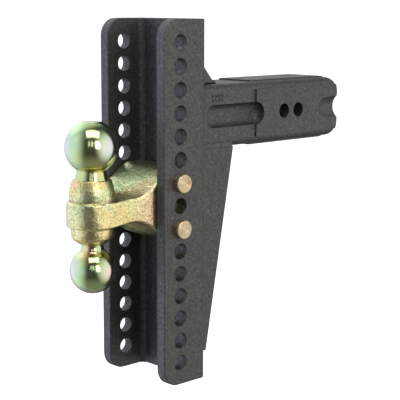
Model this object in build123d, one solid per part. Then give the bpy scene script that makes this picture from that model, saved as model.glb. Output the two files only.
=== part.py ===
from build123d import *
from math import atan2, degrees
import os

# Height-adjustable channel hitch with a pinned two-ball head.
# Millimetres. +X is across the vehicle, +Y points into the receiver, +Z is up.
# The origin is the centre of the hitch-pin bore nearer to the channel.

# --- driving dimensions -------------------------------------------------------

# Channel
HOLE_PITCH = 25.4
HOLE_ROWS = 15
HOLE_RADIUS = 8.73
CHANNEL_WIDTH = 106.4
CHANNEL_DEPTH = 63.5
CHANNEL_WALL = 12.7
CHANNEL_HEIGHT = (HOLE_ROWS + 1) * HOLE_PITCH
COLUMN_TO_FRONT = 24.0
TOP_HOLE_Z = 85.0
BEND_OUTER_RADIUS = 7.0
BEND_INNER_RADIUS = 6.5
FLANGE_CORNER_RADIUS = 20.0
WEB_CORNER_BEVEL = 4.0
EDGE_ROUND = 1.2
HOLE_MOUTH = 0.6

# Shank
SHANK_SIZE = 76.2
PAD_RISE = 1.9
SIDE_PAD_HEIGHT = 56.0
TOP_PAD_WIDTH = 50.0
CORE_CORNER_RADIUS = 9.0
PAD_START_Y = -48.0
SHANK_END_Y = 98.5
SHANK_END_RADIUS = 20.0
HITCH_BORE_RADIUS = 8.73
HITCH_BORE_SPACING = 25.4
POCKET_START_Y = -128.5
POCKET_END_Y = -35.0
POCKET_RADIUS = 13.25
POCKET_DEPTH = 10.0
POCKET_FLOOR_RADIUS = 9.6
SCOOP_START_Y = 75.0
SCOOP_RADIUS = 16.6
SCOOP_START_DEPTH = 4.8
SCOOP_END_DEPTH = 7.0

# Drop leg and top gusset
LEG_TOP_LENGTH = 61.0
LEG_FOOT_LENGTH = 18.0
LEG_FOOT_Z = -271.0
LEG_EDGE_ROUND = 2.5
GUSSET_WIDTH = 50.0
GUSSET_LENGTH = 40.0
GUSSET_HEIGHT = 47.0
GUSSET_EDGE_ROUND = 2.0

# Weld beads
WELD_LEG = 6.0
WELD_CORNER_LEG = 4.5
WELD_CROWN = 0.58
CORNER_WELD_SET_BACK = 0.8
GUSSET_WELD_START = 1.0

# Head forging
HOLE_COLUMN_Y = -184.0
UPPER_PIN_ROW = 6
LOWER_PIN_ROW = 8
BALL_AXIS_Y = -265.4
BLOCK_WIDTH = 79.2
BLOCK_FRONT_Y = -209.5
BLOCK_BACK_Y = -162.0
BLOCK_HEIGHT = 76.2
BLOCK_CORNER_RADIUS = 16.0
BLOCK_EDGE_ROUND = 13.0
ARM_TOP_Z = -82.0
ARM_BOTTOM_Z = -107.6
ARM_EDGE_ROUND = 2.5
ARM_ROOT_RADIUS = 9.0
ARM_TAPER_START_Y = -205.5
ARM_FRONT_Y = -262.4
BOSS_RADIUS = 28.0
BOSS_TOP_Z = -84.5
BOSS_BOTTOM_Z = -112.0
COLLAR_STEP = 2.0
UPPER_COLLAR_RADIUS = 25.2
UPPER_COLLAR_SHOULDER_RADIUS = 24.2
UPPER_COLLAR_SHOULDER_Z = -67.5
UPPER_COLLAR_TOP_RADIUS = 21.3
UPPER_SEAT_Z = -60.2
LOWER_COLLAR_RADIUS = 23.7
LOWER_COLLAR_EDGE_Z = -123.5
LOWER_SEAT_RADIUS = 13.0
LOWER_SEAT_Z = -131.2

# Balls
UPPER_BALL_RADIUS = 29.37
UPPER_BALL_Z = -25.7
UPPER_FLAT_RADIUS = 10.5
UPPER_NECK_RADIUS = 16.7
UPPER_NECK_FOOT_RADIUS = 19.0
UPPER_STEM_RADIUS = 15.875
LOWER_BALL_RADIUS = 25.4
LOWER_BALL_Z = -160.7
LOWER_NECK_RADIUS = 12.0
LOWER_NECK_WAIST_Z = -135.5
LOWER_NECK_BEND_RADIUS = 13.9
LOWER_NECK_BEND_Z = -140.1
LOWER_NECK_FLARE_RADIUS = 19.0
LOWER_STEM_RADIUS = 9.525
STEM_MEETING_Z = -99.0

# Pins and hairpin clips
PIN_RADIUS = 7.94
PIN_HEAD_RADIUS = 10.3
PIN_HEAD_THICKNESS = 7.5
PIN_HEAD_BEVEL = 1.2
PIN_END_X = -70.0
PIN_END_BEVEL = 2.0
CLIP_HOLE_RADIUS = 2.3
CLIP_WIRE_RADIUS = 2.0
CLIP_X = -58.6
CLIP_GAP = 0.3
CLIP_LEG_START = -26.0
CLIP_LEG_END = 11.0
CLIP_LOOP_START = 18.0
CLIP_LOOP_END = 32.0
CLIP_LOOP_LOW = -4.0
CLIP_LOOP_HIGH = 13.0
CLIP_WAIST = (10.0, 7.4)
CLIP_REST_START = 3.0
CLIP_REST_END = -9.0
CLIP_TIP = -22.0
CLIP_TIP_LIFT = 5.0
CLIP_BENDS = [6, 4, 8, 8, 5, 3, 4, 8]

# Where an edge search draws its lines
EDGE_TOLERANCE = 0.1
EDGE_MARGIN = 1.0

# --- derived places -----------------------------------------------------------

CHANNEL_TOP_Z = TOP_HOLE_Z + HOLE_PITCH
CHANNEL_BOTTOM_Z = CHANNEL_TOP_Z - CHANNEL_HEIGHT
CHANNEL_FRONT_Y = HOLE_COLUMN_Y - COLUMN_TO_FRONT
WEB_BACK_Y = CHANNEL_FRONT_Y + CHANNEL_DEPTH
FLANGE_X = CHANNEL_WIDTH / 2
CORE_HALF = SHANK_SIZE / 2 - PAD_RISE
UPPER_PIN_Z = TOP_HOLE_Z - UPPER_PIN_ROW * HOLE_PITCH
LOWER_PIN_Z = TOP_HOLE_Z - LOWER_PIN_ROW * HOLE_PITCH
HEAD_MID_Z = (UPPER_PIN_Z + LOWER_PIN_Z) / 2
LEG_HALF = CORE_HALF
LEG_BACK_Y = WEB_BACK_Y + LEG_TOP_LENGTH


def block_between(low, high):
    """A plain block between two opposite corners."""
    size = [high[i] - low[i] for i in range(3)]
    middle = [(high[i] + low[i]) / 2 for i in range(3)]
    return Pos(*middle) * Box(*size)


def rod_x(radius, x_low, x_high, y, z):
    """A round rod along X."""
    length = x_high - x_low
    return Pos((x_low + x_high) / 2, y, z) * Rot(0, 90, 0) * Cylinder(radius, length)


def side_prism(points, half_width):
    """A prism across X from an outline of (y, z) points."""
    outline = Plane.YZ * Polygon(*points, align=None)
    return extrude(outline, amount=half_width, both=True)


def flange_hole(z):
    """One row's cutter: through both flanges, with a broken edge at each outer mouth."""
    reach = FLANGE_X + 1
    cutter = rod_x(HOLE_RADIUS, -reach, reach, HOLE_COLUMN_Y, z)
    mouth = Cone(HOLE_RADIUS, HOLE_RADIUS + HOLE_MOUTH, HOLE_MOUTH)
    for turn, side in ((90, 1), (-90, -1)):
        mouth_x = side * (FLANGE_X - HOLE_MOUTH / 2)
        cutter += Pos(mouth_x, HOLE_COLUMN_Y, z) * Rot(0, turn, 0) * mouth
    return cutter


def flange_outline():
    """A block with the flanges' outline from the side: round corners in front, small bevels behind."""
    outline = block_between(
        (-FLANGE_X, CHANNEL_FRONT_Y, CHANNEL_BOTTOM_Z), (FLANGE_X, WEB_BACK_Y, CHANNEL_TOP_Z)
    )
    front_corners = outline.edges().filter_by(Axis.X).group_by(Axis.Y)[0]
    outline = fillet(front_corners, FLANGE_CORNER_RADIUS)
    back_corners = outline.edges().filter_by(Axis.X).group_by(Axis.Y)[-1]
    return chamfer(back_corners, WEB_CORNER_BEVEL)


def make_channel():
    """The U-shaped channel, open towards the trailer, with the adjustment holes."""
    outer = block_between(
        (-FLANGE_X, CHANNEL_FRONT_Y, CHANNEL_BOTTOM_Z), (FLANGE_X, WEB_BACK_Y, CHANNEL_TOP_Z)
    )
    inner_x = FLANGE_X - CHANNEL_WALL
    inner = block_between(
        (-inner_x, CHANNEL_FRONT_Y - 1, CHANNEL_BOTTOM_Z - 1),
        (inner_x, WEB_BACK_Y - CHANNEL_WALL, CHANNEL_TOP_Z + 1),
    )
    outer_bends = outer.edges().filter_by(Axis.Z).group_by(Axis.Y)[-1]
    outer = fillet(outer_bends, BEND_OUTER_RADIUS)
    inner_bends = inner.edges().filter_by(Axis.Z).group_by(Axis.Y)[-1]
    inner = fillet(inner_bends, BEND_INNER_RADIUS)
    channel = (outer & flange_outline()) - inner
    front_edges = channel.edges().filter_by(Axis.Z).group_by(Axis.Y)[0]
    channel = fillet(front_edges, EDGE_ROUND)
    for row in range(HOLE_ROWS):
        channel -= flange_hole(TOP_HOLE_Z - row * HOLE_PITCH)
    return channel


def side_pocket():
    """The round-ended lightening pocket: its cutter, for a face that looks along +X at x = 0."""
    outline = Plane.YZ * SlotOverall(POCKET_END_Y - POCKET_START_Y, POCKET_RADIUS * 2)
    cutter = extrude(outline, amount=POCKET_DEPTH, both=True)
    floor_edges = cutter.edges().group_by(Axis.X)[0]
    cutter = fillet(floor_edges, POCKET_FLOOR_RADIUS)
    return Pos(0, (POCKET_START_Y + POCKET_END_Y) / 2, 0) * cutter


def end_scoop():
    """The round-nosed scoop in a side pad, deeper towards the shank's end, for a face at x = 0."""
    run = SHANK_END_Y - SCOOP_START_Y
    tilt = degrees(atan2(SCOOP_END_DEPTH - SCOOP_START_DEPTH, run))
    groove = Sphere(SCOOP_RADIUS) + Pos(0, run, 0) * Rot(90, 0, 0) * Cylinder(SCOOP_RADIUS, 2 * run)
    return Pos(SCOOP_RADIUS - SCOOP_START_DEPTH, SCOOP_START_Y, 0) * Rot(0, 0, tilt) * groove


def shank_core():
    """The bar's round-cornered core, from the channel to its free end."""
    core = block_between((-CORE_HALF, WEB_BACK_Y, -CORE_HALF), (CORE_HALF, SHANK_END_Y, CORE_HALF))
    return fillet(core.edges().filter_by(Axis.Y), CORE_CORNER_RADIUS)


def make_shank():
    """The solid square bar: a core with four raised pads that fit the receiver tube."""
    half = SHANK_SIZE / 2
    core = shank_core()
    pad_z = SIDE_PAD_HEIGHT / 2
    pad_x = TOP_PAD_WIDTH / 2
    shank = core + block_between((-half, PAD_START_Y, -pad_z), (half, SHANK_END_Y, pad_z))
    shank += block_between((-pad_x, PAD_START_Y, -half), (pad_x, SHANK_END_Y, half))
    blank = block_between((-half, WEB_BACK_Y, -half), (half, SHANK_END_Y, half))
    end_corners = blank.edges().filter_by(Axis.X).group_by(Axis.Y)[-1]
    shank = shank & fillet(end_corners, SHANK_END_RADIUS)
    for cutter, face_x in ((side_pocket(), CORE_HALF), (end_scoop(), half)):
        placed = Pos(face_x, 0, 0) * cutter
        shank -= placed
        shank -= mirror(placed, Plane.YZ)
    for bore_y in (0, HITCH_BORE_SPACING):
        shank -= rod_x(HITCH_BORE_RADIUS, -SHANK_SIZE, SHANK_SIZE, bore_y, 0)
    return shank


def make_drop_leg():
    """The tapered leg that backs the channel below the shank."""
    points = [
        (WEB_BACK_Y, -CORE_HALF),
        (LEG_BACK_Y, -CORE_HALF),
        (WEB_BACK_Y + LEG_FOOT_LENGTH, LEG_FOOT_Z),
        (WEB_BACK_Y, LEG_FOOT_Z),
    ]
    leg = side_prism(points, LEG_HALF)
    back_face = leg.faces().sort_by(Axis.Y)[-1]
    long_edges = [e for e in back_face.edges() if abs(e.tangent_at(0.5).X) < 0.5]
    return fillet(long_edges, LEG_EDGE_ROUND)


def make_top_gusset():
    """The triangular brace between the channel's back and the top of the shank."""
    points = [
        (WEB_BACK_Y, CORE_HALF),
        (WEB_BACK_Y, CORE_HALF + GUSSET_HEIGHT),
        (WEB_BACK_Y + GUSSET_LENGTH, CORE_HALF),
    ]
    gusset = side_prism(points, GUSSET_WIDTH / 2)
    slope = gusset.faces().sort_by(Axis.Y)[-1]
    long_edges = [e for e in slope.edges() if abs(e.tangent_at(0.5).X) < 0.5]
    return fillet(long_edges, GUSSET_EDGE_ROUND)


def weld_section(leg):
    """A slightly crowned fillet-weld section in the corner of the first quadrant."""
    crown = leg * WELD_CROWN
    edges = [
        Line((0, 0), (leg, 0)),
        ThreePointArc((leg, 0), (crown, crown), (0, leg)),
        Line((0, leg), (0, 0)),
    ]
    return make_face(edges)


def upright_weld(side, corner_x, z_low, z_high):
    """A bead up the corner between the channel's back and a side face."""
    section = weld_section(WELD_LEG)
    if side < 0:
        section = mirror(section, Plane.YZ)
    bead = extrude(section, amount=z_high - z_low)
    return Pos(side * corner_x, WEB_BACK_Y, z_low) * bead


def across_weld(half_width, y, z, leg, turn):
    """A bead across X in the corner at (y, z), opened by turn degrees from +Y +Z."""
    section = Plane.YZ * Rot(0, 0, turn) * weld_section(leg)
    return Pos(0, y, z) * extrude(section, amount=half_width, both=True)


def corner_weld(side):
    """The bead that fills the shank's round lower corner, along the top of the leg's side."""
    outer_x = LEG_HALF - CORNER_WELD_SET_BACK
    inner_x = CORE_HALF - CORE_CORNER_RADIUS
    length_y = LEG_TOP_LENGTH - LEG_EDGE_ROUND
    filler = block_between(
        (inner_x, WEB_BACK_Y, -CORE_HALF), (outer_x, WEB_BACK_Y + length_y, -inner_x)
    )
    bead = filler - shank_core()
    return bead if side > 0 else mirror(bead, Plane.YZ)


def make_welds():
    """Every weld bead, by node name."""
    straight = CORE_HALF - CORE_CORNER_RADIUS
    gusset_x = GUSSET_WIDTH / 2
    gusset_low = CORE_HALF + GUSSET_WELD_START
    gusset_high = CORE_HALF + GUSSET_HEIGHT - WELD_LEG
    welds = {}
    for name, side in (("left", -1), ("right", 1)):
        welds["shank_weld_" + name] = upright_weld(side, CORE_HALF, -straight, straight)
        welds["leg_weld_" + name] = upright_weld(side, LEG_HALF, LEG_FOOT_Z, -straight)
        welds["leg_side_weld_" + name] = corner_weld(side)
        welds["gusset_weld_" + name] = upright_weld(side, gusset_x, gusset_low, gusset_high)
    welds["leg_foot_weld"] = across_weld(LEG_HALF, WEB_BACK_Y, LEG_FOOT_Z, WELD_LEG, -90)
    welds["leg_top_weld"] = across_weld(straight, LEG_BACK_Y, -CORE_HALF, WELD_CORNER_LEG, -90)
    gusset_foot_y = WEB_BACK_Y + GUSSET_LENGTH
    welds["gusset_foot_weld"] = across_weld(
        gusset_x, gusset_foot_y, CORE_HALF, WELD_CORNER_LEG, 0
    )
    return welds


def turned(points_and_arcs):
    """A solid turned about the balls' upright axis from edges in the local XZ plane."""
    face = Plane.XZ * make_face(points_and_arcs)
    return Pos(0, BALL_AXIS_Y, 0) * revolve(face, Axis.Z)


def polyline_edges(points):
    """Straight edges through the points in turn."""
    return [Line(points[i], points[i + 1]) for i in range(len(points) - 1)]


def make_arm():
    """The flat arm: waisted in plan towards the boss, with curved roots against the block."""
    half = BLOCK_WIDTH / 2
    flat_side_y = BLOCK_FRONT_Y + BLOCK_CORNER_RADIUS
    plan_points = [
        (-half, flat_side_y),
        (-half, ARM_TAPER_START_Y),
        (-BOSS_RADIUS, ARM_FRONT_Y),
        (BOSS_RADIUS, ARM_FRONT_Y),
        (half, ARM_TAPER_START_Y),
        (half, flat_side_y),
    ]
    plan = extrude(Polygon(*plan_points, align=None), amount=BLOCK_HEIGHT, both=True)
    bend = ARM_ROOT_RADIUS * (1 - 0.5**0.5)
    edges = [Line((ARM_FRONT_Y, ARM_BOTTOM_Z), (ARM_FRONT_Y, ARM_TOP_Z))]
    roots = []
    for flat_z, away in ((ARM_TOP_Z, 1), (ARM_BOTTOM_Z, -1)):
        start = (BLOCK_FRONT_Y - ARM_ROOT_RADIUS, flat_z)
        middle = (BLOCK_FRONT_Y - bend, flat_z + away * bend)
        root = (BLOCK_FRONT_Y, flat_z + away * ARM_ROOT_RADIUS)
        back = (flat_side_y, root[1])
        edges += [Line((ARM_FRONT_Y, flat_z), start), ThreePointArc(start, middle, root)]
        edges.append(Line(root, back))
        roots.append(back)
    edges.append(Line(*roots))
    side = extrude(Plane.YZ * make_face(edges), amount=half, both=True)
    arm = side & (Pos(0, 0, HEAD_MID_Z) * plan)
    long_edges = [
        e
        for e in arm.edges()
        if ARM_FRONT_Y + EDGE_MARGIN < e.center().Y < ARM_TAPER_START_Y - EDGE_MARGIN
        and abs(e.center().X) > BOSS_RADIUS
        and abs(e.tangent_at(0.5).Z) < 0.9
    ]
    return fillet(long_edges, ARM_EDGE_ROUND)


def make_head():
    """The forging: block between the flanges, arm, and boss with a collar above and below."""
    half = BLOCK_WIDTH / 2
    block = block_between(
        (-half, BLOCK_FRONT_Y, HEAD_MID_Z - BLOCK_HEIGHT / 2),
        (half, BLOCK_BACK_Y, HEAD_MID_Z + BLOCK_HEIGHT / 2),
    )
    block = fillet(block.edges().filter_by(Axis.Z).group_by(Axis.Y)[0], BLOCK_CORNER_RADIUS)
    head = block + make_arm()
    rim = [
        e
        for e in head.edges()
        if abs(abs(e.center().Z - HEAD_MID_Z) - BLOCK_HEIGHT / 2) < EDGE_TOLERANCE
        and e.center().Y < BLOCK_BACK_Y - EDGE_MARGIN
    ]
    head = fillet(rim, BLOCK_EDGE_ROUND)
    boss_points = [
        (0, UPPER_SEAT_Z),
        (UPPER_COLLAR_TOP_RADIUS, UPPER_SEAT_Z),
        (UPPER_COLLAR_SHOULDER_RADIUS, UPPER_COLLAR_SHOULDER_Z),
        (UPPER_COLLAR_RADIUS, BOSS_TOP_Z + COLLAR_STEP),
        (BOSS_RADIUS, BOSS_TOP_Z),
        (BOSS_RADIUS, BOSS_BOTTOM_Z),
        (LOWER_COLLAR_RADIUS, BOSS_BOTTOM_Z - COLLAR_STEP),
        (LOWER_COLLAR_RADIUS, LOWER_COLLAR_EDGE_Z),
        (LOWER_SEAT_RADIUS, LOWER_SEAT_Z),
        (0, LOWER_SEAT_Z),
        (0, UPPER_SEAT_Z),
    ]
    head += turned(polyline_edges(boss_points))
    for radius, z_low, z_high in (
        (UPPER_STEM_RADIUS, STEM_MEETING_Z, UPPER_SEAT_Z),
        (LOWER_STEM_RADIUS, LOWER_SEAT_Z, STEM_MEETING_Z),
    ):
        bore = Cylinder(radius, z_high - z_low)
        head -= Pos(0, BALL_AXIS_Y, (z_low + z_high) / 2) * bore
    for pin_z in (UPPER_PIN_Z, LOWER_PIN_Z):
        head -= rod_x(HOLE_RADIUS, -BLOCK_WIDTH, BLOCK_WIDTH, HOLE_COLUMN_Y, pin_z)
    return head


def ball_surface_z(ball_radius, ring_radius):
    """Height above a ball's centre of its surface at a ring radius."""
    return (ball_radius**2 - ring_radius**2) ** 0.5


def make_upper_ball():
    """The larger ball: flat on top, tapered neck, and a stem pressed into the boss."""
    flat_z = UPPER_BALL_Z + ball_surface_z(UPPER_BALL_RADIUS, UPPER_FLAT_RADIUS)
    neck_z = UPPER_BALL_Z - ball_surface_z(UPPER_BALL_RADIUS, UPPER_NECK_RADIUS)
    edges = [
        Line((0, flat_z), (UPPER_FLAT_RADIUS, flat_z)),
        ThreePointArc(
            (UPPER_FLAT_RADIUS, flat_z), (UPPER_BALL_RADIUS, UPPER_BALL_Z), (UPPER_NECK_RADIUS, neck_z)
        ),
    ]
    edges += polyline_edges(
        [
            (UPPER_NECK_RADIUS, neck_z),
            (UPPER_NECK_FOOT_RADIUS, UPPER_SEAT_Z),
            (UPPER_STEM_RADIUS, UPPER_SEAT_Z),
            (UPPER_STEM_RADIUS, STEM_MEETING_Z),
            (0, STEM_MEETING_Z),
            (0, flat_z),
        ]
    )
    return turned(edges)


def make_lower_ball():
    """The smaller ball, pointing down: waisted neck, and a stem pressed into the boss."""
    flare_z = LOWER_BALL_Z + ball_surface_z(LOWER_BALL_RADIUS, LOWER_NECK_FLARE_RADIUS)
    bottom_z = LOWER_BALL_Z - LOWER_BALL_RADIUS
    flare = (LOWER_NECK_FLARE_RADIUS, flare_z)
    bend = (LOWER_NECK_BEND_RADIUS, LOWER_NECK_BEND_Z)
    waist = (LOWER_NECK_RADIUS, LOWER_NECK_WAIST_Z)
    edges = [
        ThreePointArc((0, bottom_z), (LOWER_BALL_RADIUS, LOWER_BALL_Z), flare),
        ThreePointArc(flare, bend, waist),
    ]
    edges += polyline_edges(
        [
            waist,
            (LOWER_NECK_RADIUS, LOWER_SEAT_Z),
            (LOWER_STEM_RADIUS, LOWER_SEAT_Z),
            (LOWER_STEM_RADIUS, STEM_MEETING_Z),
            (0, STEM_MEETING_Z),
            (0, bottom_z),
        ]
    )
    return turned(edges)


def make_pin(z):
    """A headed clevis pin through both flanges and the head, cross-drilled for its clip."""
    head_low = FLANGE_X
    shaft = rod_x(PIN_RADIUS, PIN_END_X, head_low, HOLE_COLUMN_Y, z)
    shaft = chamfer(shaft.edges().sort_by(Axis.X)[0], PIN_END_BEVEL)
    cap = rod_x(PIN_HEAD_RADIUS, head_low, head_low + PIN_HEAD_THICKNESS, HOLE_COLUMN_Y, z)
    cap = fillet(cap.edges().sort_by(Axis.X)[-1], PIN_HEAD_BEVEL)
    cross_hole = Pos(CLIP_X, HOLE_COLUMN_Y, z) * Rot(90, 0, 0)
    return shaft + cap - cross_hole * Cylinder(CLIP_HOLE_RADIUS, PIN_RADIUS * 3)


def make_clip(z):
    """A hairpin clip: one straight leg through the pin, the other sprung over it."""
    rest_height = PIN_RADIUS + CLIP_WIRE_RADIUS + CLIP_GAP
    side_view = [
        (CLIP_LEG_START, 0),
        (CLIP_LEG_END, 0),
        (CLIP_LOOP_START, CLIP_LOOP_LOW),
        (CLIP_LOOP_END, CLIP_LOOP_LOW),
        (CLIP_LOOP_END, CLIP_LOOP_HIGH),
        (CLIP_LOOP_START, CLIP_LOOP_HIGH),
        CLIP_WAIST,
        (CLIP_REST_START, rest_height),
        (CLIP_REST_END, rest_height),
        (CLIP_TIP, rest_height + CLIP_TIP_LIFT),
    ]
    route = [(0, y, z) for y, z in side_view]
    wire_line = FilletPolyline(*route, radius=CLIP_BENDS)
    section = Plane(origin=wire_line @ 0, z_dir=wire_line % 0) * Circle(CLIP_WIRE_RADIUS)
    wire = sweep(section, path=wire_line)
    return Pos(CLIP_X, HOLE_COLUMN_Y, z) * wire


def make_parts():
    """Every node, by name."""
    parts = {
        "channel": make_channel(),
        "shank": make_shank(),
        "drop_leg": make_drop_leg(),
        "top_gusset": make_top_gusset(),
        "head_forging": make_head(),
        "upper_ball": make_upper_ball(),
        "lower_ball": make_lower_ball(),
    }
    for name, pin_z in (("upper", UPPER_PIN_Z), ("lower", LOWER_PIN_Z)):
        parts[name + "_pin"] = make_pin(pin_z)
        parts[name + "_clip"] = make_clip(pin_z)
    parts.update(make_welds())
    return parts


os.makedirs("parts", exist_ok=True)
for node, solid in make_parts().items():
    export_step(solid, "parts/" + node + ".step")
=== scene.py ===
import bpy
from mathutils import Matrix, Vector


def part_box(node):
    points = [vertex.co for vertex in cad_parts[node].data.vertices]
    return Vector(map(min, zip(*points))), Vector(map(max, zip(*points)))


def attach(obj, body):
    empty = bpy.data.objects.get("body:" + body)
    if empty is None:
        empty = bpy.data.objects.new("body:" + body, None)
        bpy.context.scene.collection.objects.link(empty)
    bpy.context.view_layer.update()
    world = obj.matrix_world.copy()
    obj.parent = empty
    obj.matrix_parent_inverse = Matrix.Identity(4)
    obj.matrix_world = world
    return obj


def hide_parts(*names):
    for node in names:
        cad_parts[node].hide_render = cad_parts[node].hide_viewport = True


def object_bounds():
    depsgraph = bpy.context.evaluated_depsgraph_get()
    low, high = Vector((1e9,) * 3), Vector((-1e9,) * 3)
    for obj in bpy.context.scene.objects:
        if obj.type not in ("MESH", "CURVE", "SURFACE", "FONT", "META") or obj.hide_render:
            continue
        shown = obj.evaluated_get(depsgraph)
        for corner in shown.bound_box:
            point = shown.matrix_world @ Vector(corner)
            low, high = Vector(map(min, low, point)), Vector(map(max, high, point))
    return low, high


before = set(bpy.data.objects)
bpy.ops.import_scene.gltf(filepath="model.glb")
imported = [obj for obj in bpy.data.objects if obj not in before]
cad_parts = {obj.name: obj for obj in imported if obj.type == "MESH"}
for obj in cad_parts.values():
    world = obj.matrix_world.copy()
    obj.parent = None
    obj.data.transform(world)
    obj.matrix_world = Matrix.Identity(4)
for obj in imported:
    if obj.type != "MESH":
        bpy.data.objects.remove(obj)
cad_box = [list(corner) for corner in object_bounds()]

import math

import bmesh
import bpy
import numpy as np
from mathutils import Euler, Vector, noise

# A channel hitch mount: black powder-coated steel, and a forged, zinc-plated two-ball head.
# Metres, in the frame's own axes: +X along the pins, +Y into the receiver, +Z up.

MM = 0.001


def centre_of(node):
    """The middle of a CAD node's box."""
    low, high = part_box(node)
    return (low + high) / 2


BALL_AXIS_Y = centre_of("upper_ball").y
UPPER_PIN = centre_of("upper_pin")
LOWER_PIN = centre_of("lower_pin")
CHANNEL_BACK_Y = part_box("channel")[1].y
LEG_SIDE_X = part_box("drop_leg")[1].x
HEAD_LOW, HEAD_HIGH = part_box("head_forging")
UPPER_BALL_LOW, UPPER_BALL_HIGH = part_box("upper_ball")
LOWER_BALL_LOW, LOWER_BALL_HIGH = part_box("lower_ball")


def direction(azimuth, elevation):
    """A unit vector from the object towards an azimuth and elevation in degrees."""
    a, e = math.radians(azimuth), math.radians(elevation)
    return Vector((math.sin(a) * math.cos(e), -math.cos(a) * math.cos(e), math.sin(e)))


# --- mesh helpers -------------------------------------------------------------


def add_object(name, mesh, body):
    """Links a mesh as a piece that rides on a body; its finish is the material that the caller adds to the
    mesh.
    """
    piece = bpy.data.objects.new(name, mesh)
    bpy.context.scene.collection.objects.link(piece)
    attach(piece, body)
    return piece


def smooth_mesh(name, points, faces):
    """A smooth-shaded mesh from points and faces."""
    mesh = bpy.data.meshes.new(name)
    mesh.from_pydata(points, [], faces)
    mesh.update()
    mesh.polygons.foreach_set("use_smooth", [True] * len(mesh.polygons))
    return mesh


# --- the forging, as a distance field -----------------------------------------
# Lengths in this section are millimetres, so that its numbers read like a drawing.

GRID_STEP = 0.8
GRID_MARGIN = 4.0
BLOCK_HALF_WIDTH = 39.6
BLOCK_BACK_Y = -162.0
BLOCK_TOP_Z = -51.6
BLOCK_BOTTOM_Z = -131.5
BLOCK_BACK_ROUND = 2.5
ARM_TOP_Z = -80.6
ARM_BOTTOM_Z = -107.2
ARM_EDGE_ROUND = 2.0
RAMP_START_Y = -232.0
RAMP_END_Y = -178.0
FLARE_END_Y = -212.0
FLARE_BEND = 1.25
RAMP_LEAN = 0.8
RAMP_CROWN = 6.0
BOSS_RADIUS = 28.0
BOSS_TOP_Z = -84.5
BOSS_BOTTOM_Z = -112.0
BOSS_MID_Z = -99.0
BOSS_EDGE_ROUND = 1.8
COLLAR_EDGE_ROUND = 0.9
COLLAR_JOIN_ROUND = 0.9
COLLAR_TO_ARM_ROUND = 5.0
UPPER_SEAT_Z = -60.2
LOWER_SEAT_Z = -131.2
PIN_BORE_RADIUS = 8.73
SMOOTHING_TURNS = 2
MACHINED_DEPTH = 0.3

# The collars' outlines, from below to above, as (height, radius)
UPPER_COLLAR = [
    (BOSS_MID_Z, 25.2),
    (BOSS_TOP_Z, 25.2),
    (-76.5, 25.0),
    (-70.5, 24.2),
    (-65.5, 22.8),
    (UPPER_SEAT_Z, 21.2),
]
LOWER_COLLAR = [
    (LOWER_SEAT_Z, 13.6),
    (-129.2, 16.6),
    (-126.6, 20.6),
    (-123.8, 22.9),
    (-119.2, 23.7),
    (BOSS_MID_Z, 23.7),
]

# The uneven skin, in metres, as (size of the waves, their height)
FORGED_SKIN = [(0.022, 0.00035), (0.008, 0.00012), (0.003, 0.00006)]


def round_both(a, b, radius):
    """Where both fields are inside, with the outer edge between them rounded."""
    over_a = np.maximum(radius + a, 0)
    over_b = np.maximum(radius + b, 0)
    return np.minimum(-radius, np.maximum(a, b)) + np.hypot(over_a, over_b)


def round_join(a, b, radius):
    """Where either field is inside, with the inner corner between them filled round."""
    over_a = np.maximum(radius - a, 0)
    over_b = np.maximum(radius - b, 0)
    return np.maximum(radius, np.minimum(a, b)) - np.hypot(over_a, over_b)


def turned_field(x, y, z, profile):
    """Distance from a turned shape about the balls' axis, from a list of (height, radius)."""
    heights, radii = zip(*profile)
    return np.hypot(x, y - BALL_AXIS_Y / MM) - np.interp(z, heights, radii)


def eased(value, start, stop):
    """0 before start, 1 after stop, and smooth between them."""
    t = np.clip((value - start) / (stop - start), 0, 1)
    return t * t * (3 - 2 * t)


def bar_field(x, y, z):
    """The arm and block: one bar that ramps up and down to the block, between machined sides."""
    boss_y = BALL_AXIS_Y / MM
    near_boss = 1 - eased(y, boss_y, RAMP_START_Y)
    ramp = eased(y, RAMP_START_Y, RAMP_END_Y)
    top = ARM_TOP_Z + (BOSS_TOP_Z - ARM_TOP_Z) * near_boss + (BLOCK_TOP_Z - ARM_TOP_Z) * ramp
    crown = RAMP_CROWN * 4 * ramp * (1 - ramp) * (1 - (x / BLOCK_HALF_WIDTH) ** 2)
    bottom = ARM_BOTTOM_Z + (BOSS_BOTTOM_Z - ARM_BOTTOM_Z) * near_boss - crown
    bottom += (BLOCK_BOTTOM_Z - ARM_BOTTOM_Z) * ramp
    flare = np.clip((y - boss_y) / (FLARE_END_Y - boss_y), 0, 1) ** FLARE_BEND
    half_width = BOSS_RADIUS + (BLOCK_HALF_WIDTH - BOSS_RADIUS) * flare
    rise = np.maximum(z - top, bottom - z) * RAMP_LEAN
    bar = round_both(rise, np.abs(x) - half_width, ARM_EDGE_ROUND)
    return round_both(np.maximum(bar, boss_y - y), y - BLOCK_BACK_Y, BLOCK_BACK_ROUND)


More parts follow.
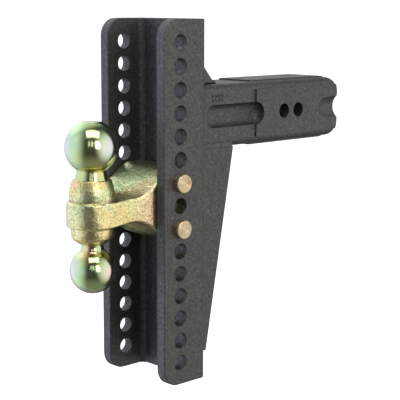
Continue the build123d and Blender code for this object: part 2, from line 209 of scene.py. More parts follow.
def head_field(x, y, z):
    """The whole forging."""
    around = np.hypot(x, y - BALL_AXIS_Y / MM)
    upper_side = turned_field(x, y, z, UPPER_COLLAR)
    upper_rise = np.maximum(z - UPPER_SEAT_Z, BOSS_MID_Z - z)
    upper = round_both(upper_side, upper_rise, COLLAR_EDGE_ROUND)
    lower_rise = np.maximum(z - BOSS_MID_Z, LOWER_SEAT_Z - z)
    lower = np.maximum(turned_field(x, y, z, LOWER_COLLAR), lower_rise)
    boss_rise = np.maximum(z - BOSS_TOP_Z, BOSS_BOTTOM_Z - z)
    boss = round_both(around - BOSS_RADIUS, boss_rise, BOSS_EDGE_ROUND)
    above_arm = np.maximum(upper, ARM_TOP_Z - COLLAR_TO_ARM_ROUND - z)
    below_arm = np.maximum(lower, z - ARM_BOTTOM_Z - COLLAR_TO_ARM_ROUND)
    bar = bar_field(x, y, z)
    bar = round_join(round_join(bar, above_arm, COLLAR_TO_ARM_ROUND), below_arm, COLLAR_JOIN_ROUND)
    boss = round_join(round_join(boss, upper, COLLAR_JOIN_ROUND), lower, COLLAR_JOIN_ROUND)
    head = np.minimum(bar, boss)
    for pin in (UPPER_PIN, LOWER_PIN):
        bore = PIN_BORE_RADIUS - np.hypot(y - pin.y / MM, z - pin.z / MM)
        head = np.maximum(head, bore)
    return head


def cell_points(field):
    """One point for each grid cell that the surface crosses: the mean of its edge crossings."""
    cells = tuple(n - 1 for n in field.shape)
    total = np.zeros(cells + (3,))
    count = np.zeros(cells)
    for axis in range(3):
        others = [a for a in range(3) if a != axis]
        for first in (0, 1):
            for second in (0, 1):
                start = [0, 0, 0]
                start[others[0]], start[others[1]] = first, second
                stop = list(start)
                stop[axis] = 1
                here = field[tuple(slice(s, s + n) for s, n in zip(start, cells))]
                there = field[tuple(slice(s, s + n) for s, n in zip(stop, cells))]
                crossed = (here < 0) != (there < 0)
                along = here[crossed] / (here[crossed] - there[crossed])
                place = np.tile(np.array(start, float), (len(along), 1))
                place[:, axis] = along
                total[crossed] += place
                count[crossed] += 1
    active = count > 0
    corner = np.argwhere(active)
    index = np.full(cells, -1)
    index[active] = np.arange(len(corner))
    return corner + total[active] / count[active][:, None], index


def cell_faces(field, index):
    """A quad round each grid edge that the surface crosses."""
    faces = []
    for axis in range(3):
        second, third = (axis + 1) % 3, (axis + 2) % 3
        size = list(field.shape)
        size[axis] -= 1
        low = field[tuple(slice(0, n) for n in size)]
        start = [0, 0, 0]
        start[axis] = 1
        high = field[tuple(slice(s, s + n) for s, n in zip(start, size))]
        place = np.argwhere((low < 0) != (high < 0))
        inner = (place[:, second] > 0) & (place[:, third] > 0)
        place = place[inner & (place[:, second] < size[second] - 1) & (place[:, third] < size[third] - 1)]
        step_2, step_3 = np.eye(3, dtype=int)[second], np.eye(3, dtype=int)[third]
        ring = [place, place - step_2, place - step_2 - step_3, place - step_3]
        quads = np.stack([index[tuple(p.T)] for p in ring], axis=1)
        leaving = low[tuple(place.T)] < 0
        quads[~leaving] = quads[~leaving][:, ::-1]
        faces.append(quads)
    return np.concatenate(faces)


def field_mesh(name, field_of, low, high, step):
    """Meshes the zero surface of a field on a grid, all in millimetres, as a mesh in metres."""
    axes = [np.arange(a, b + step, step) for a, b in zip(low, high)]
    x, y, z = np.meshgrid(*axes, indexing="ij")
    field = field_of(x, y, z)
    points, index = cell_points(field)
    faces = cell_faces(field, index)
    points = (np.array([a[0] for a in axes]) + points * step) * MM
    return smooth_mesh(name, points.tolist(), faces.tolist())


def roughen(mesh, layers, moved):
    """Moves the points that moved(x) allows along their normals, by noise layers of (size, height)."""
    count = len(mesh.vertices)
    places, normals = np.zeros(count * 3), np.zeros(count * 3)
    mesh.vertices.foreach_get("co", places)
    mesh.vertices.foreach_get("normal", normals)
    places, normals = places.reshape(-1, 3), normals.reshape(-1, 3)
    for i in np.flatnonzero(moved(places)):
        place = Vector(places[i])
        rise = sum(height * noise.noise(place / size) for size, height in layers)
        places[i] += normals[i] * rise
    mesh.vertices.foreach_set("co", places.ravel())
    mesh.update()


def make_forging():
    """The head's forging, with the uneven skin that a die leaves."""
    low = [v / MM - GRID_MARGIN for v in HEAD_LOW]
    high = [v / MM + GRID_MARGIN for v in HEAD_HIGH]
    mesh = field_mesh("head_forging_skin", head_field, low, high, GRID_STEP)
    even_out(mesh, SMOOTHING_TURNS)
    side = (BLOCK_HALF_WIDTH - MACHINED_DEPTH) * MM
    roughen(mesh, FORGED_SKIN, lambda places: np.abs(places[:, 0]) < side)
    piece = add_object("head_forging_skin", mesh, "mount")
    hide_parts("head_forging")
    mesh.materials.append(forged_zinc())


def even_out(mesh, turns):
    """Evens the points of a mesh out, a little at each turn."""
    shaped = bmesh.new()
    shaped.from_mesh(mesh)
    for _ in range(turns):
        bmesh.ops.smooth_vert(
            shaped, verts=shaped.verts, factor=0.5, use_axis_x=True, use_axis_y=True, use_axis_z=True
        )
    shaped.to_mesh(mesh)
    shaped.free()
    mesh.update()


# --- turned balls -------------------------------------------------------------

TURNED_STEPS = 192
STEM_DEPTH = 1.5 * MM

FLAT_RADIUS = 10.5 * MM
FLAT_EDGE = [(9.3 * MM, 0.0), (10.0 * MM, 0.1 * MM)]
UPPER_NECK_RADIUS = 16.7 * MM
UPPER_GROOVE_RADIUS = 16.1 * MM
UPPER_GROOVE_HEIGHT = 0.6 * MM
UPPER_FOOT_RADIUS = 18.9 * MM
UPPER_NECK_CURVE = 1.4
UPPER_NECK_STEPS = 8

LOWER_NECK_RADIUS = 12.0 * MM
LOWER_FOOT_RADIUS = 12.6 * MM
LOWER_FOOT_EDGE_RADIUS = 12.4 * MM
LOWER_FOOT_HEIGHT = 0.8 * MM
LOWER_FLARE_RADIUS = 17.6 * MM
LOWER_NECK_CURVE = 2.6
LOWER_NECK_STEPS = 12


def arc(centre_z, radius, start, stop, count):
    """(radius, height) points on a ball's outline between two angles from straight up, in degrees."""
    angles = [math.radians(start + (stop - start) * i / count) for i in range(count + 1)]
    return [(radius * math.sin(a), centre_z + radius * math.cos(a)) for a in angles]


def turned_mesh(name, outline):
    """Turns an outline of (radius, height) in metres about the balls' axis, from pole to pole."""
    points = []
    for radius, height in outline[1:-1]:
        for i in range(TURNED_STEPS):
            angle = 2 * math.pi * i / TURNED_STEPS
            points.append((radius * math.sin(angle), BALL_AXIS_Y - radius * math.cos(angle), height))
    rings = len(outline) - 2
    faces = []
    for ring in range(rings - 1):
        for i in range(TURNED_STEPS):
            j = (i + 1) % TURNED_STEPS
            a, b = ring * TURNED_STEPS, (ring + 1) * TURNED_STEPS
            faces.append((a + j, a + i, b + i, b + j))
    first, last = len(points), len(points) + 1
    points.append((0, BALL_AXIS_Y, outline[0][1]))
    points.append((0, BALL_AXIS_Y, outline[-1][1]))
    end = (rings - 1) * TURNED_STEPS
    for i in range(TURNED_STEPS):
        j = (i + 1) % TURNED_STEPS
        faces.append((first, i, j))
        faces.append((last, end + j, end + i))
    return smooth_mesh(name, points, faces)


def make_upper_ball():
    """The larger ball, with its turned flat, its tapered neck and the foot that sits on the boss."""
    radius = (UPPER_BALL_HIGH.x - UPPER_BALL_LOW.x) / 2
    top = UPPER_BALL_HIGH.z
    flat_angle = math.degrees(math.asin(FLAT_RADIUS / radius))
    centre = top - math.sqrt(radius**2 - FLAT_RADIUS**2)
    neck_angle = 180 - math.degrees(math.asin(UPPER_NECK_RADIUS / radius))
    seat = UPPER_SEAT_Z * MM
    outline = [(0, top)] + [(edge_radius, top - drop) for edge_radius, drop in FLAT_EDGE]
    outline += arc(centre, radius, flat_angle + 1, neck_angle + 1.5, 64)
    groove_z = outline[-1][1] - UPPER_GROOVE_HEIGHT
    neck_z = groove_z - UPPER_GROOVE_HEIGHT
    outline += [(UPPER_GROOVE_RADIUS, groove_z), (UPPER_NECK_RADIUS, neck_z)]
    for i in range(1, UPPER_NECK_STEPS + 1):
        t = i / UPPER_NECK_STEPS
        widening = (UPPER_FOOT_RADIUS - UPPER_NECK_RADIUS) * t**UPPER_NECK_CURVE
        outline.append((UPPER_NECK_RADIUS + widening, neck_z + (seat - neck_z) * t))
    outline += [(UPPER_FOOT_RADIUS, seat - STEM_DEPTH), (0, seat - STEM_DEPTH)]
    mesh = turned_mesh("upper_ball_turned", outline)
    piece = add_object("upper_ball_turned", mesh, "mount")
    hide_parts("upper_ball")
    mesh.materials.append(bright_zinc("upper_ball_zinc", centre, radius, 0.0, UPPER_BALL_PATCHES))


def make_lower_ball():
    """The smaller ball below, with its waisted neck."""
    radius = (LOWER_BALL_HIGH.x - LOWER_BALL_LOW.x) / 2
    centre = LOWER_BALL_LOW.z + radius
    seat = LOWER_SEAT_Z * MM
    flare_angle = math.degrees(math.asin(LOWER_FLARE_RADIUS / radius))
    outline = [(0, seat + STEM_DEPTH), (LOWER_FOOT_RADIUS, seat + STEM_DEPTH)]
    outline.append((LOWER_FOOT_EDGE_RADIUS, seat))
    top = seat - LOWER_FOOT_HEIGHT
    flare_z = centre + math.sqrt(radius**2 - LOWER_FLARE_RADIUS**2)
    for i in range(LOWER_NECK_STEPS + 1):
        t = i / LOWER_NECK_STEPS
        widening = (LOWER_FLARE_RADIUS - LOWER_NECK_RADIUS) * t**LOWER_NECK_CURVE
        outline.append((LOWER_NECK_RADIUS + widening, top + (flare_z - top) * t))
    outline += arc(centre, radius, flare_angle + 2, 180, 72)
    mesh = turned_mesh("lower_ball_turned", outline)
    piece = add_object("lower_ball_turned", mesh, "mount")
    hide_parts("lower_ball")
    mesh.materials.append(bright_zinc("lower_ball_zinc", centre, radius, 4.0, LOWER_BALL_PATCHES))


# --- weld beads ---------------------------------------------------------------

BEAD_STEP = 0.0006
BEAD_SIDES = 10
BEAD_FLATNESS = 0.20
BEAD_END_SIZE = 0.55
RIPPLE_PITCH = 0.0042
RIPPLE_DEPTH = 0.20
RIPPLE_WANDER = 0.35
RIPPLE_LEAN = 0.25
SIZE_WANDER = 0.03


def bead_ring(corner, leg_a, leg_b, size):
    """One section of a bead: the corner point, then an arc from one leg to the other."""
    ring = [corner]
    for i in range(BEAD_SIDES + 1):
        angle = math.pi / 2 * i / BEAD_SIDES
        bulge = size * (1 - BEAD_FLATNESS * (1 - abs(math.cos(2 * angle))))
        ring.append(corner + leg_a * (bulge * math.cos(angle)) + leg_b * (bulge * math.sin(angle)))
    return ring


def bead_size(along, from_end, start, leg_a):
    """How much of its full leg a bead has at a place: it ripples, wanders and tapers to its ends."""
    wander = noise.noise(Vector((along * 90, leg_a.x, start.z * 50)))
    ripple = (along / RIPPLE_PITCH + RIPPLE_WANDER * wander) % 1
    swell = noise.noise(Vector((along * 60, 3.0, start.x)))
    size = 1 - RIPPLE_DEPTH * (1 - math.sqrt(ripple)) + SIZE_WANDER * swell
    return size * min(1.0, BEAD_END_SIZE + (1 - BEAD_END_SIZE) * math.sqrt(max(from_end, 0.0)))


def make_bead(node, start, end, leg_a, leg_b, leg):
    """A rippled weld bead along a corner, in place of a plain CAD one."""
    length = (end - start).length
    count = max(2, int(length / BEAD_STEP))
    lean = (end - start).normalized() * (-RIPPLE_LEAN * leg)
    points = []
    for i in range(count + 1):
        along = length * i / count
        from_end = min(along, length - along) / leg
        size = leg * bead_size(along, from_end, start, leg_a)
        ring = bead_ring(start.lerp(end, i / count), leg_a, leg_b, size)
        middle = len(ring) / 2
        inside = min(1.0, from_end / 2)
        for k, point in enumerate(ring):
            sag = max(0.0, 1 - abs(k - middle) / middle) if k else 0.0
            points.append(point + lean * sag * inside)
    sides = BEAD_SIDES + 2
    faces = []
    for i in range(count):
        for k in range(sides):
            m = (k + 1) % sides
            faces.append((i * sides + k, i * sides + m, (i + 1) * sides + m, (i + 1) * sides + k))
    faces.append(tuple(reversed(range(sides))))
    faces.append(tuple(count * sides + k for k in range(sides)))
    mesh = smooth_mesh(node + "_bead", points, faces)
    fix_normals(mesh)
    piece = add_object(node + "_bead", mesh, "mount")
    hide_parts(node)
    mesh.materials.append(materials["weld"])


def fix_normals(mesh):
    """Turns every face outwards."""
    shaped = bmesh.new()
    shaped.from_mesh(mesh)
    bmesh.ops.recalc_face_normals(shaped, faces=shaped.faces)
    shaped.to_mesh(mesh)
    shaped.free()


def make_welds():
    """Every bead, along the corner that its CAD node fills; the leg's side welds are ground flush."""
    across, back, up = Vector((1, 0, 0)), Vector((0, 1, 0)), Vector((0, 0, 1))
    for side, name in ((-1, "left"), (1, "right")):
        for node in ("shank_weld_", "leg_weld_", "gusset_weld_"):
            low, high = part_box(node + name)
            corner_x = low.x if side > 0 else high.x
            start, end = Vector((corner_x, low.y, low.z)), Vector((corner_x, low.y, high.z))
            make_bead(node + name, start, end, across * side, back, high.y - low.y)
        give("leg_side_weld_" + name, materials["weld"])
    for node, rise in (("leg_foot_weld", -1), ("leg_top_weld", -1), ("gusset_foot_weld", 1)):
        low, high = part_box(node)
        corner_z = high.z if rise < 0 else low.z
        start, end = Vector((low.x, low.y, corner_z)), Vector((high.x, low.y, corner_z))
        make_bead(node, start, end, back, up * rise, high.y - low.y)


# --- casting pips -------------------------------------------------------------

PIP_COLUMNS = 4
PIP_ROWS = 2
PIP_PITCH = 0.0050
PIP_RADIUS = 0.0018
PIP_HEIGHT = 0.0012
PIP_FROM_CHANNEL = 0.027
PIP_LOWEST_Z = 0.0185
PIP_SIDES = 20
PIP_RINGS = 5
PIP_ROUNDNESS = 0.93


def add_pip(points, faces, y, z):
    """Adds one domed pip, rooted in the shank's side, to the lists."""
    base = len(points)
    for ring in range(PIP_RINGS):
        t = ring / (PIP_RINGS - 1) * math.pi / 2 * PIP_ROUNDNESS
        r = PIP_RADIUS * math.cos(t)
        rise = PIP_HEIGHT * math.sin(t) if ring else -PIP_HEIGHT
        for i in range(PIP_SIDES):
            a = 2 * math.pi * i / PIP_SIDES
            points.append((LEG_SIDE_X + rise, y + r * math.cos(a), z + r * math.sin(a)))
    for ring in range(PIP_RINGS - 1):
        for i in range(PIP_SIDES):
            j = (i + 1) % PIP_SIDES
            a, b = base + ring * PIP_SIDES, base + (ring + 1) * PIP_SIDES
            faces.append((a + i, a + j, b + j, b + i))
    faces.append(tuple(base + (PIP_RINGS - 1) * PIP_SIDES + i for i in range(PIP_SIDES)))
    faces.append(tuple(base + i for i in reversed(range(PIP_SIDES))))


def make_pips():
    """A small block of raised pips on the shank's side: a plain batch mark."""
    points, faces = [], []
    for column in range(PIP_COLUMNS):
        for row in range(PIP_ROWS):
            y = CHANNEL_BACK_Y + PIP_FROM_CHANNEL + column * PIP_PITCH
            add_pip(points, faces, y, PIP_LOWEST_Z + row * PIP_PITCH)
    mesh = smooth_mesh("shank_batch_pips", points, faces)
    add_object("shank_batch_pips", mesh, "mount")
    mesh.materials.append(materials["shank"])


# --- material helpers ---------------------------------------------------------


class Paint:
    """A node material under construction: most calls add a few nodes and return an output."""

    def __init__(self, name):
        self.material = bpy.data.materials.new(name)
        self.material.use_nodes = True
        self.tree = self.material.node_tree
        self.shader = self.tree.nodes["Principled BSDF"]
        self.place = self.add("ShaderNodeTexCoord").outputs["Object"]

    def add(self, kind, **settings):
        """Adds a node with some of its settings."""
        node = self.tree.nodes.new(kind)
        for key, value in settings.items():
            setattr(node, key, value)
        return node

    def put(self, socket, value):
        """Links an output to a socket, or sets the socket to a plain value."""
        if isinstance(value, bpy.types.NodeSocket):
            self.tree.links.new(value, socket)
        else:
            socket.default_value = value

    def noise(self, size, detail=2.0, roughness=0.5, shift=0.0, distortion=0.0):
        """Noise whose features are about size metres across."""
        moved = self.add("ShaderNodeVectorMath", operation="ADD")
        self.put(moved.inputs[0], self.place)
        moved.inputs[1].default_value = (shift, shift * 0.7, shift * 1.3)
        node = self.add("ShaderNodeTexNoise")
        self.put(node.inputs["Vector"], moved.outputs[0])
        node.inputs["Scale"].default_value = 1 / size
        node.inputs["Detail"].default_value = detail
        node.inputs["Roughness"].default_value = roughness
        node.inputs["Distortion"].default_value = distortion
        return node.outputs["Fac"]

    def ramp(self, value, stops):
        """Maps a value through (place, colour) stops; a colour may be one number."""
        node = self.add("ShaderNodeValToRGB")
        self.put(node.inputs["Fac"], value)
        elements = node.color_ramp.elements
        while len(elements) < len(stops):
            elements.new(0.5)
        for element, (place, colour) in zip(elements, stops):
            element.position = place
            if isinstance(colour, (int, float)):
                colour = (colour, colour, colour)
            element.color = (*colour, 1)
        return node.outputs["Color"]

    def mix(self, factor, first, second):
        """Blends two colours."""
        node = self.add("ShaderNodeMix", data_type="RGBA")
        self.put(node.inputs["Factor"], factor)
        for socket, colour in ((node.inputs[6], first), (node.inputs[7], second)):
            self.put(socket, colour if isinstance(colour, bpy.types.NodeSocket) else (*colour, 1))
        return node.outputs[2]

    def multiply(self, first, second):
        """Darkens one colour by another."""
        node = self.add("ShaderNodeMix", data_type="RGBA", blend_type="MULTIPLY")
        node.inputs["Factor"].default_value = 1.0
        self.put(node.inputs[6], first)
        self.put(node.inputs[7], second)
        return node.outputs[2]

    def axis(self, letter):
        """One coordinate of the place, in metres."""
        node = self.add("ShaderNodeSeparateXYZ")
        self.put(node.inputs[0], self.place)
        return node.outputs[letter]

    def map(self, value, start, stop, low, high):
        """Takes a value from start..stop to low..high, and no further."""
        node = self.add("ShaderNodeMapRange")
        for socket, number in zip(node.inputs, (value, start, stop, low, high)):
            self.put(socket, number)
        return node.outputs["Result"]

    def math(self, operation, first, second=0.0, third=0.0):
        """One step of arithmetic."""
        node = self.add("ShaderNodeMath", operation=operation)
        for socket, value in zip(node.inputs, (first, second, third)):
            self.put(socket, value)
        return node.outputs[0]

    def bump(self, height, distance, below=None):
        """A bump of the given depth in metres, on top of another one."""
        node = self.add("ShaderNodeBump")
        node.inputs["Distance"].default_value = distance
        self.put(node.inputs["Height"], height)
        if below is not None:
            self.put(node.inputs["Normal"], below)
        return node.outputs["Normal"]

    def patch(self, centre, reach):
        """1 at a place, falling to 0 at reach metres from it."""
        node = self.add("ShaderNodeVectorMath", operation="DISTANCE")
        self.put(node.inputs[0], self.place)
        node.inputs[1].default_value = centre
        away = self.math("DIVIDE", node.outputs["Value"], reach)
        near = self.math("SUBTRACT", 1.0, away)
        return self.math("SMOOTH_MAX", near, 0.0, 0.15)

    def finish(self, colour, roughness, normal, metallic):
        """Fills in the shader and returns the material."""
        self.put(self.shader.inputs["Base Color"], colour)
        self.put(self.shader.inputs["Roughness"], roughness)
        self.put(self.shader.inputs["Normal"], normal)
        self.shader.inputs["Metallic"].default_value = metallic
        return self.material


# --- materials ----------------------------------------------------------------

# Coat colours: the darkest is painted shade between the sand grains, the middle is painted light on their
# tops, the lightest is a painted glint highlight on raised specks.
COAT_DARK = (0.007, 0.007, 0.008)
COAT_MID = (0.026, 0.026, 0.027)
COAT_GLINT_HIGHLIGHT = (0.116, 0.114, 0.109)


def powder_coat(name, shift, grain=1.0):
    """Textured black powder coat: sandy grains with painted shade in their low spots and painted light
    where they stand proud, painted glint highlights on raised specks, over a slow peel.
    """
    paint = Paint(name)
    peel = paint.noise(0.0070, 2.0, 0.5, shift)
    sand = paint.noise(0.0034, 4.0, 0.68, shift)
    speck = paint.noise(0.0026, 2.0, 0.6, shift + 1)
    clouds = paint.noise(0.060, 3.0, 0.5, shift + 2)
    # Painted shade in the sand's low spots and painted light on its high spots.
    base = paint.mix(paint.ramp(sand, [(0.38, 0.0), (0.62, 1.0)]), COAT_DARK, COAT_MID)
    # Painted glint highlights on the raised specks.
    painted_glint = paint.ramp(speck, [(0.57, 0.0), (0.72, 0.9)])
    base = paint.mix(painted_glint, base, COAT_GLINT_HIGHLIGHT)
    tone = paint.ramp(clouds, [(0.30, 0.80), (0.70, 1.0)])
    base = paint.multiply(base, tone)
    rough = paint.ramp(sand, [(0.32, 0.66), (0.68, 0.40)])
    normal = paint.bump(peel, 0.00040 * grain)
    normal = paint.bump(sand, 0.00075 * grain, normal)
    normal = paint.bump(speck, 0.00035 * grain, normal)
    paint.shader.inputs["Specular IOR Level"].default_value = 0.95
    return paint.finish(base, rough, normal, 0.0)


GOLD = (0.74, 0.60, 0.26)
PALE_GOLD = (0.76, 0.72, 0.38)
GREEN = (0.40, 0.52, 0.24)
PALE_GREEN = (0.58, 0.68, 0.36)
PINK = (0.86, 0.50, 0.34)
LILAC = (0.68, 0.58, 0.65)
ROSE = (0.78, 0.58, 0.62)
SILVER = (0.60, 0.65, 0.65)
OLIVE = (0.30, 0.30, 0.11)
# Painted shade for the low spots of the forging's sandy skin.
PIT_SHADE = (0.13, 0.11, 0.05)
# Painted sparkle highlight for the high spots of the forging's sandy skin.
SPARKLE_HIGHLIGHT = (0.94, 0.92, 0.66)


def zinc_colour(paint, size, shift):
    """Yellow chromate over zinc: gold that drifts through green and pink in patches."""
    drift = paint.noise(size, 2.0, 0.45, shift, 0.6)
    stops = [(0.24, PINK), (0.36, GOLD), (0.46, PALE_GOLD), (0.58, PALE_GREEN), (0.74, GREEN)]
    return paint.ramp(drift, stops)


FORGING_DRIFT = 0.31
# A band of painted shade, tinted brown, just above the boss at the foot of the upper collar, towards the
# front.
FOOT_SHADE_BROWN = (0.34, 0.20, 0.11)
FOOT_SHADE_STEP = 1.0
FOOT_SHADE_HEIGHT = 4.5
FOOT_SHADE_FRONT_Y = -250.0
FOOT_SHADE_BACK_Y = -238.0

# Local tints on the forging at its middle height, in millimetres: x, y, reach, strength, tint
FORGING_PATCHES = [
    (BLOCK_HALF_WIDTH, FLARE_END_Y, 30.0, 0.9, PINK),
    (BOSS_RADIUS, -240.0, 24.0, 0.8, GOLD),
    (-BOSS_RADIUS, -285.0, 34.0, 0.8, LILAC),
]


def painted_foot_shade(paint):
    """Painted shade with a brown tint, in the corner between the upper collar and the boss, towards the
    front.
    """
    height = paint.axis("Z")
    start = BOSS_TOP_Z * MM
    step = (BOSS_TOP_Z + FOOT_SHADE_STEP) * MM
    stop = (BOSS_TOP_Z + FOOT_SHADE_HEIGHT) * MM
    above = paint.map(height, start, step, 0.0, 1.0)
    below = paint.map(height, step, stop, 0.75, 0.0)
    front = paint.map(paint.axis("Y"), FOOT_SHADE_FRONT_Y * MM, FOOT_SHADE_BACK_Y * MM, 1.0, 0.0)
    return paint.math("MULTIPLY", paint.math("MULTIPLY", above, below), front)


def forged_zinc():
    """The plated forging: a pitted, sandy skin, with painted shade in the sand's low spots and painted
    sparkle highlights on its high spots.
    """
    paint = Paint("forged_zinc")
    colour = zinc_colour(paint, 0.050, FORGING_DRIFT)
    for x, y, reach, strength, tint in FORGING_PATCHES:
        near = paint.patch((x * MM, y * MM, BOSS_MID_Z * MM), reach * MM)
        colour = paint.mix(paint.math("MULTIPLY", near, strength), colour, tint)
    # Painted shade at the foot of the upper collar.
    colour = paint.mix(painted_foot_shade(paint), colour, FOOT_SHADE_BROWN)
    sand = paint.noise(0.0023, 3.0, 0.62, 0.7)
    scale = paint.noise(0.0075, 3.0, 0.55, 0.2)
    stain = paint.noise(0.014, 4.0, 0.6, 1.4)
    dull = paint.ramp(stain, [(0.50, 0.0), (0.76, 0.30)])
    colour = paint.mix(dull, colour, OLIVE)
    # Painted shade in the sand's low spots.
    painted_pit_shade = paint.ramp(sand, [(0.30, 0.66), (0.50, 0.0)])
    colour = paint.mix(painted_pit_shade, colour, PIT_SHADE)
    # Painted sparkle highlights on the sand's high spots.
    painted_sparkle = paint.ramp(sand, [(0.54, 0.0), (0.72, 0.50)])
    colour = paint.mix(painted_sparkle, colour, SPARKLE_HIGHLIGHT)
    rough = paint.ramp(sand, [(0.32, 0.46), (0.68, 0.22)])
    normal = paint.bump(scale, 0.00060)
    normal = paint.bump(sand, 0.00034, normal)
    return paint.finish(colour, rough, normal, 1.0)


BALL_GREEN = (0.42, 0.57, 0.30)
PALE_BALL_GREEN = (0.58, 0.70, 0.44)
OLIVE_GREEN = (0.54, 0.56, 0.23)

# Patches on a ball: azimuth, elevation (degrees), reach in ball radii, strength, tint
UPPER_BALL_PATCHES = [
    (-25, 0, 0.80, 1.0, SILVER),
    (-44, 0, 0.60, 1.0, LILAC),
    (92, 0, 0.75, 1.0, SILVER),
    (112, 5, 0.50, 1.0, LILAC),
    (46, -80, 0.75, 0.9, GOLD),
    (200, 10, 1.2, 0.8, SILVER),
]
LOWER_BALL_PATCHES = [
    (-12, 12, 0.60, 1.0, SILVER),
    (-36, -10, 0.75, 1.0, ROSE),
    (20, -70, 0.60, 0.8, ROSE),
    (104, 5, 0.60, 1.0, ROSE),
    (30, 62, 0.50, 0.9, PINK),
    (200, 10, 1.2, 0.8, SILVER),
]


def bright_zinc(name, centre_z, radius, shift, patches):
    """The turned and plated balls: a near mirror with soft iridescent patches."""
    paint = Paint(name)
    drift = paint.noise(0.034, 2.0, 0.45, 0.9 + shift, 0.8)
    stops = [(0.32, OLIVE_GREEN), (0.48, BALL_GREEN), (0.62, PALE_BALL_GREEN), (0.76, BALL_GREEN)]
    colour = paint.ramp(drift, stops)
    centre = Vector((0, BALL_AXIS_Y, centre_z))
    for azimuth, elevation, reach, strength, tint in patches:
        near = paint.patch(centre + direction(azimuth, elevation) * radius, reach * radius)
        colour = paint.mix(paint.math("MULTIPLY", near, strength), colour, tint)
    lines = paint.add("ShaderNodeTexWave", bands_direction="Z")
    paint.put(lines.inputs["Vector"], paint.place)
    lines.inputs["Scale"].default_value = 900.0
    lines.inputs["Distortion"].default_value = 1.5
    haze = paint.noise(0.009, 4.0, 0.6, shift)
    rough = paint.ramp(haze, [(0.30, 0.10), (0.72, 0.22)])
    dust = paint.noise(0.0022, 3.0, 0.6, shift + 3)
    normal = paint.bump(dust, 0.00003)
    normal = paint.bump(lines.outputs["Fac"], 0.000004, normal)
    return paint.finish(colour, rough, normal, 1.0)


PIN_ORANGE = (0.66, 0.40, 0.29)
PIN_GOLD = (0.76, 0.58, 0.37)
PIN_PALE = (0.78, 0.68, 0.45)


def pin_zinc(name, pin):
    """Plated pins, with the faint rings of a lathe on their heads."""
    paint = Paint(name)
    colour = zinc_colour(paint, 0.016, 2.2 + pin.z * 40)
    blush = paint.noise(0.006, 2.0, 0.5, 5.0 + pin.z * 30, 0.6)
    glow = paint.ramp(blush, [(0.36, PIN_ORANGE), (0.52, PIN_GOLD), (0.68, PIN_PALE)])
    warm = paint.mix(0.75, colour, glow)
    grain = paint.noise(0.0012, 4.0, 0.6, 0.5)
    rough = paint.ramp(grain, [(0.30, 0.42), (0.70, 0.26)])
    moved = paint.add("ShaderNodeVectorMath", operation="SUBTRACT")
    paint.put(moved.inputs[0], paint.place)
    moved.inputs[1].default_value = (0, pin.y, pin.z)
    rings = paint.add("ShaderNodeTexWave", wave_type="RINGS", rings_direction="X")
    paint.put(rings.inputs["Vector"], moved.outputs[0])
    rings.inputs["Scale"].default_value = 620.0
    rings.inputs["Distortion"].default_value = 0.6
    normal = paint.bump(grain, 0.00012)
    normal = paint.bump(rings.outputs["Fac"], 0.00010, normal)
    return paint.finish(warm, rough, normal, 1.0)


WIRE_DULL = (0.50, 0.50, 0.48)
WIRE_BRIGHT = (0.72, 0.72, 0.70)


def clip_zinc():
    """Bright plated spring wire, with faint drawing marks."""
    paint = Paint("clip_zinc")
    streak = paint.noise(0.0016, 4.0, 0.65, 0.4)
    colour = paint.ramp(streak, [(0.3, WIRE_DULL), (0.7, WIRE_BRIGHT)])
    rough = paint.ramp(streak, [(0.3, 0.38), (0.7, 0.22)])
    return paint.finish(colour, rough, paint.bump(streak, 0.00005), 1.0)


def give(node, material):
    """Puts one material on a CAD node."""
    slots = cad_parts[node].data.materials
    slots.clear()
    slots.append(material)


# --- stage --------------------------------------------------------------------

FLOOR_DROP = 0.25
FLOOR_RADIUS = 3.0
COVE_RADIUS = 2.0
COVE_STEPS = 12
WALL_HEIGHT = 5.0
STAGE_SIDES = 72
STAGE_GLOW = 0.97


def make_stage(middle, lowest):
    """A pale floor that curves up into a round backdrop, well clear of the object."""
    floor_z = lowest - FLOOR_DROP
    outline = [(0.0, 0.0), (FLOOR_RADIUS, 0.0)]
    for i in range(1, COVE_STEPS + 1):
        angle = math.pi / 2 * i / COVE_STEPS
        outline.append((FLOOR_RADIUS + COVE_RADIUS * math.sin(angle), COVE_RADIUS * (1 - math.cos(angle))))
    outline.append((FLOOR_RADIUS + COVE_RADIUS, WALL_HEIGHT))
    points, faces = [], []
    for r, z in outline:
        for i in range(STAGE_SIDES):
            a = 2 * math.pi * i / STAGE_SIDES
            points.append((middle.x + r * math.cos(a), middle.y + r * math.sin(a), floor_z + z))
    for ring in range(len(outline) - 1):
        for i in range(STAGE_SIDES):
            j = (i + 1) % STAGE_SIDES
            a, b = ring * STAGE_SIDES, (ring + 1) * STAGE_SIDES
            faces.append((a + i, a + j, b + j, b + i))
    stage = bpy.data.objects.new("pale_floor", smooth_mesh("pale_floor", points, faces))
    bpy.context.scene.collection.objects.link(stage)
    paint = Paint("pale_floor")
    paint.shader.inputs["Emission Color"].default_value = (1, 1, 1, 1)
    paint.shader.inputs["Emission Strength"].default_value = STAGE_GLOW
    paint.shader.inputs["Base Color"].default_value = (0.5, 0.5, 0.5, 1)
    paint.shader.inputs["Roughness"].default_value = 1.0
    stage.data.materials.append(paint.material)
    stage.visible_glossy = False
    stage.visible_diffuse = False
    paint.material.cycles.emission_sampling = "NONE"


# Lights: name, azimuth, elevation (degrees), distance, width, height (metres), radiance
SOFTBOXES = [
    ("overhead", 54, 62, 1.5, 1.20, 0.78, 3.4),
    ("window", 73, 16, 1.8, 0.58, 0.90, 3.4),
    ("strip_near", 38, 20, 1.8, 0.07, 0.62, 3.6),
    ("strip_far", 50, 20, 1.8, 0.09, 0.62, 3.6),
]


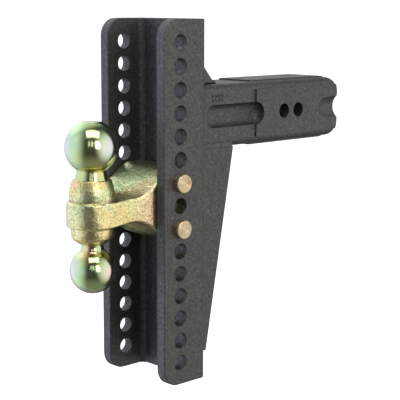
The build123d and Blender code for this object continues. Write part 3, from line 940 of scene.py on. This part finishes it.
def softbox(name, middle, azimuth, elevation, distance, width, height, radiance):
    """A rectangular light that faces the object, placed by its direction from it."""
    away = direction(azimuth, elevation)
    data = bpy.data.lights.new(name, "AREA")
    data.shape = "RECTANGLE"
    data.size, data.size_y = width, height
    data.energy = radiance * math.pi * width * height
    light = bpy.data.objects.new(name, data)
    bpy.context.scene.collection.objects.link(light)
    light.location = middle + away * distance
    light.rotation_euler = away.to_track_quat("Z", "Y").to_euler()
    light.visible_camera = False


# Soft glows of the room: azimuth, elevation, full within, gone beyond (degrees), colour, strength
ROOM_DIM = 0.08
ROOM_GLOWS = [
    (-50, 2, 22, 78, (0.90, 0.97, 1.10), 1.22),
    (124, 4, 10, 62, (1.0, 0.99, 0.96), 1.25),
    (-105, 50, 8, 44, (1.0, 1.0, 1.0), 0.90),
    (222, 10, 16, 50, (1.0, 1.0, 1.0), 0.75),
    (40, -90, 10, 70, (1.0, 0.96, 0.86), 0.25),
]


def make_room():
    """A dim room with wide soft glows to the left, the right, above, behind and below."""
    world = bpy.data.worlds.new("room")
    bpy.context.scene.world = world
    world.use_nodes = True
    tree = world.node_tree
    background = tree.nodes["Background"]
    outward = tree.nodes.new("ShaderNodeTexCoord").outputs["Generated"]
    total = None
    for azimuth, elevation, inner, outer, colour, strength in ROOM_GLOWS:
        dot = tree.nodes.new("ShaderNodeVectorMath")
        dot.operation = "DOT_PRODUCT"
        tree.links.new(outward, dot.inputs[0])
        dot.inputs[1].default_value = direction(azimuth, elevation)
        fade = tree.nodes.new("ShaderNodeMapRange")
        fade.interpolation_type = "SMOOTHSTEP"
        tree.links.new(dot.outputs["Value"], fade.inputs["Value"])
        fade.inputs["From Min"].default_value = math.cos(math.radians(outer))
        fade.inputs["From Max"].default_value = math.cos(math.radians(inner))
        glow = tree.nodes.new("ShaderNodeVectorMath")
        glow.operation = "MULTIPLY_ADD"
        tree.links.new(fade.outputs["Result"], glow.inputs[0])
        glow.inputs[1].default_value = [c * strength for c in colour]
        if total is None:
            glow.inputs[2].default_value = (ROOM_DIM, ROOM_DIM, ROOM_DIM)
        else:
            tree.links.new(total, glow.inputs[2])
        total = glow.outputs["Vector"]
    tree.links.new(total, background.inputs["Color"])


def make_lights(middle):
    """The soft room, a large soft box above the camera, a window to its right and two thin strips."""
    make_room()
    for name, *placing in SOFTBOXES:
        softbox(name, middle, *placing)
    bpy.context.scene.view_settings.view_transform = "Standard"


# --- camera -------------------------------------------------------------------

CAMERA_AZIMUTH = 45.97
CAMERA_ELEVATION = 9.415
CAMERA_ROLL = 0.18
CAMERA_DISTANCE = 1.405
CAMERA_LENS = 107.12
CAMERA_SENSOR = 36.0
AIM_OFFSET = Vector((0.0009, -0.0013, -0.0096))


def add_camera(middle):
    """The camera, a little above the channel's top and half way round from the front to +X."""
    away = direction(CAMERA_AZIMUTH, CAMERA_ELEVATION)
    data = bpy.data.cameras.new("camera")
    data.lens = CAMERA_LENS
    data.sensor_width = CAMERA_SENSOR
    camera = bpy.data.objects.new("camera", data)
    bpy.context.scene.collection.objects.link(camera)
    camera.location = middle + AIM_OFFSET + away * CAMERA_DISTANCE
    turn = (-away).to_track_quat("-Z", "Y").to_matrix()
    roll = Euler((0, 0, math.radians(CAMERA_ROLL))).to_matrix()
    camera.rotation_euler = (turn @ roll).to_euler()
    bpy.context.scene.camera = camera


# --- assembly -----------------------------------------------------------------

low, high = (Vector(corner) for corner in cad_box)
middle = (low + high) / 2
add_camera(middle)
make_stage(middle, low.z)
make_lights(middle)

materials = {
    "channel": powder_coat("channel_coat", 0.0),
    "shank": powder_coat("shank_coat", 3.0),
    "drop_leg": powder_coat("leg_coat", 5.0),
    "top_gusset": powder_coat("gusset_coat", 7.0),
    "weld": powder_coat("weld_coat", 9.0, 0.6),
    "clip": clip_zinc(),
}
for node in ("channel", "shank", "drop_leg", "top_gusset"):
    give(node, materials[node])
for name, pin in (("upper", UPPER_PIN), ("lower", LOWER_PIN)):
    give(name + "_pin", pin_zinc(name + "_pin_zinc", pin))
    give(name + "_clip", materials["clip"])

make_forging()
make_upper_ball()
make_lower_ball()
make_welds()
make_pips()
